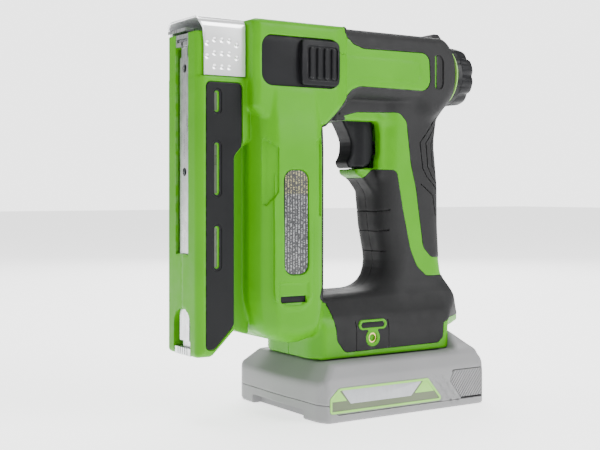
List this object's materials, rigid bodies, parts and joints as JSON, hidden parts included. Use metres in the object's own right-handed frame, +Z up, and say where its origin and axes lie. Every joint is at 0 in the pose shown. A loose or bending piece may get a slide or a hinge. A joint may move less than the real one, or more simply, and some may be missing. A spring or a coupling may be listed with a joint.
{
  "type": "cordless brad nailer",
  "caption": "Pistol-grip cordless nailer and stapler with an upright front magazine, chromed nose cover, motor tower, rear power dial and flat battery foot.",
  "frame": {"origin": "middle of the battery pack underside, which the tool stands on", "axes": "+Z up, -X the way the nails leave, y = 0 the seam between the two housings"},
  "size_m": [0.1853, 0.0896, 0.2107],
  "materials": {
    "green_shell": "moulded, fine satin",
    "dark_grip": "soft matt overmould",
    "dark_plastic": "moulded, fine texture",
    "ring_green": "translucent trim",
    "chrome_plate": "bright plated sheet",
    "steel": "pressed sheet and ground bar",
    "spring_steel": "oiled wire",
    "brad_wire": "collated wire with clear glue",
    "dark_metal": "cast and painted",
    "motor_steel": "zinc coated can",
    "sinter": "sintered gear steel",
    "brass": "turned insert",
    "bumper_rubber": "dense rubber",
    "pusher_plastic": "acetal",
    "board": "glass fibre laminate",
    "red_wire": "silicone wire cover",
    "label": "blank printed film",
    "silver_label": "blank metallic film",
    "lid_grey": "moulded, fine texture",
    "cell_wrap": "shrink film over steel",
    "nickel": "thin strip"
  },
  "bodies": {
    "tool": {"housing_left": "green_shell", "housing_right": "green_shell", "rear_grip_left": "dark_grip", "rear_grip_right": "dark_grip", "lower_grip_left": "dark_grip", "lower_grip_right": "dark_grip", "side_panel_left": "dark_plastic", "side_panel_right": "dark_plastic", "nose_cover": "chrome_plate", "nose_block": "steel", "nose_plate": "steel", "mag_channel": "steel", "mech_frame": "dark_metal", "bumper": "bumper_rubber", "guide_rod": "steel", "main_spring": "spring_steel", "dial_ring": "ring_green", "motor_can": "motor_steel", "motor_cap": "dark_plastic", "gear_case": "dark_metal", "trigger_pin": "steel", "switch_body": "dark_plastic", "trigger_spring": "spring_steel", "control_board": "board", "terminal_block": "dark_plastic", "wiring": "red_wire", "label_plate": "label", "hook_inserts": "brass", "housing_screws": "dark_metal"},
    "battery": {"battery_base": "dark_plastic", "battery_lid": "lid_grey", "cells": "cell_wrap", "cell_tabs": "nickel", "battery_board": "board", "battery_labels": "silver_label"},
    "button_left": {"release_left": "dark_plastic"},
    "button_right": {"release_right": "dark_plastic"},
    "drawer": {"mag_rail": "steel", "mag_latch": "steel", "brad_strip": "brad_wire", "pusher_spring": "spring_steel"},
    "follower": {"pusher": "pusher_plastic"},
    "hammer_set": {"hammer": "steel", "driver_blade": "steel", "blade_pin": "steel"},
    "dial": {"power_dial": "dark_plastic", "adjuster_screw": "steel"},
    "seat": {"spring_seat": "steel"},
    "rotor": {"motor_shaft": "steel", "sun_gear": "sinter"},
    "planet_a": {"planet_1": "sinter"},
    "planet_b": {"planet_2": "sinter"},
    "planet_c": {"planet_3": "sinter"},
    "carrier": {"planet_carrier": "steel", "lifter_gear": "sinter"},
    "trigger_body": {"trigger": "dark_plastic"},
    "plunger": {"switch_plunger": "red_wire"},
    "slider": {"mode_slider": "dark_plastic"},
    "lock": {"lock_switch": "dark_plastic"}
  },
  "joints": [
    {"name": "gear_turn", "type": "hinge", "parent": "tool", "child": "carrier", "pos_m": [-0.061, 0, 0.18], "axis": [0, 0, -1], "range_deg": [0, 136.6]},
    {"name": "motor_turn", "type": "hinge", "parent": "tool", "child": "rotor", "pos_m": [-0.061, 0, 0.06], "axis": [0, 0, -1], "range_deg": [0, 615]},
    {"name": "planet_turn_1", "type": "hinge", "parent": "carrier", "child": "planet_a", "pos_m": [-0.0502, 0, 0.12], "axis": [0, 0, -1], "range_deg": [-383, 0]},
    {"name": "planet_turn_2", "type": "hinge", "parent": "carrier", "child": "planet_b", "pos_m": [-0.0664, 0.00935, 0.12], "axis": [0, 0, -1], "range_deg": [-383, 0]},
    {"name": "planet_turn_3", "type": "hinge", "parent": "carrier", "child": "planet_c", "pos_m": [-0.0664, -0.00935, 0.12], "axis": [0, 0, -1], "range_deg": [-383, 0]},
    {"name": "hammer_slide", "type": "slide", "parent": "tool", "child": "hammer_set", "axis": [1, 0, 0], "range_m": [0, 0.025], "deforming": ["main_spring"]},
    {"name": "power_dial_turn", "type": "hinge", "parent": "tool", "child": "dial", "pos_m": [0.06, 0, 0.1865], "axis": [1, 0, 0], "range_deg": [0, 300.5]},
    {"name": "preload_slide", "type": "slide", "parent": "tool", "child": "seat", "axis": [-1, 0, 0], "range_m": [0, 0.003]},
    {"name": "trigger_pull", "type": "hinge", "parent": "tool", "child": "trigger_body", "pos_m": [-0.0025, 0, 0.1596], "axis": [0, -1, 0], "range_deg": [0, 12.1], "stiffness_Nm_per_rad": 0.6, "springref_deg": -6.88},
    {"name": "plunger_slide", "type": "slide", "parent": "tool", "child": "plunger", "axis": [1, 0, 0], "range_m": [0, 0.00345], "deforming": ["trigger_spring"]},
    {"name": "mode_slide", "type": "slide", "parent": "tool", "child": "slider", "axis": [-1, 0, 0], "range_m": [0, 0.022]},
    {"name": "lock_slide", "type": "slide", "parent": "tool", "child": "lock", "axis": [1, 0, 0], "range_m": [0, 0.004]},
    {"name": "magazine_slide", "type": "slide", "parent": "tool", "child": "drawer", "axis": [0, 0, -1], "range_m": [0, 0.03]},
    {"name": "pusher_slide", "type": "slide", "parent": "drawer", "child": "follower", "axis": [0, 0, -1], "range_m": [0, 0.06], "stiffness_N_per_m": 12, "springref_m": -0.05, "deforming": ["pusher_spring"]},
    {"name": "battery_slide", "type": "slide", "parent": "tool", "child": "battery", "axis": [1, 0, 0], "range_m": [0, 0.06]},
    {"name": "button_left_push", "type": "slide", "parent": "battery", "child": "button_left", "axis": [0, 1, 0], "range_m": [0, 0.0025], "stiffness_N_per_m": 300, "springref_m": -0.003},
    {"name": "button_right_push", "type": "slide", "parent": "battery", "child": "button_right", "axis": [0, -1, 0], "range_m": [0, 0.0025], "stiffness_N_per_m": 300, "springref_m": -0.003}
  ],
  "couplings": [
    {"joint": "gear_turn", "follows": "hammer_slide", "rad_per_m": 95.238},
    {"joint": "motor_turn", "follows": "hammer_slide", "rad_per_m": 428.57},
    {"joint": "planet_turn_1", "follows": "hammer_slide", "rad_per_m": -266.67},
    {"joint": "planet_turn_2", "follows": "hammer_slide", "rad_per_m": -266.67},
    {"joint": "planet_turn_3", "follows": "hammer_slide", "rad_per_m": -266.67},
    {"joint": "power_dial_turn", "follows": "preload_slide", "rad_per_m": 1745.3},
    {"joint": "trigger_pull", "follows": "plunger_slide", "rad_per_m": 60.606}
  ]
}
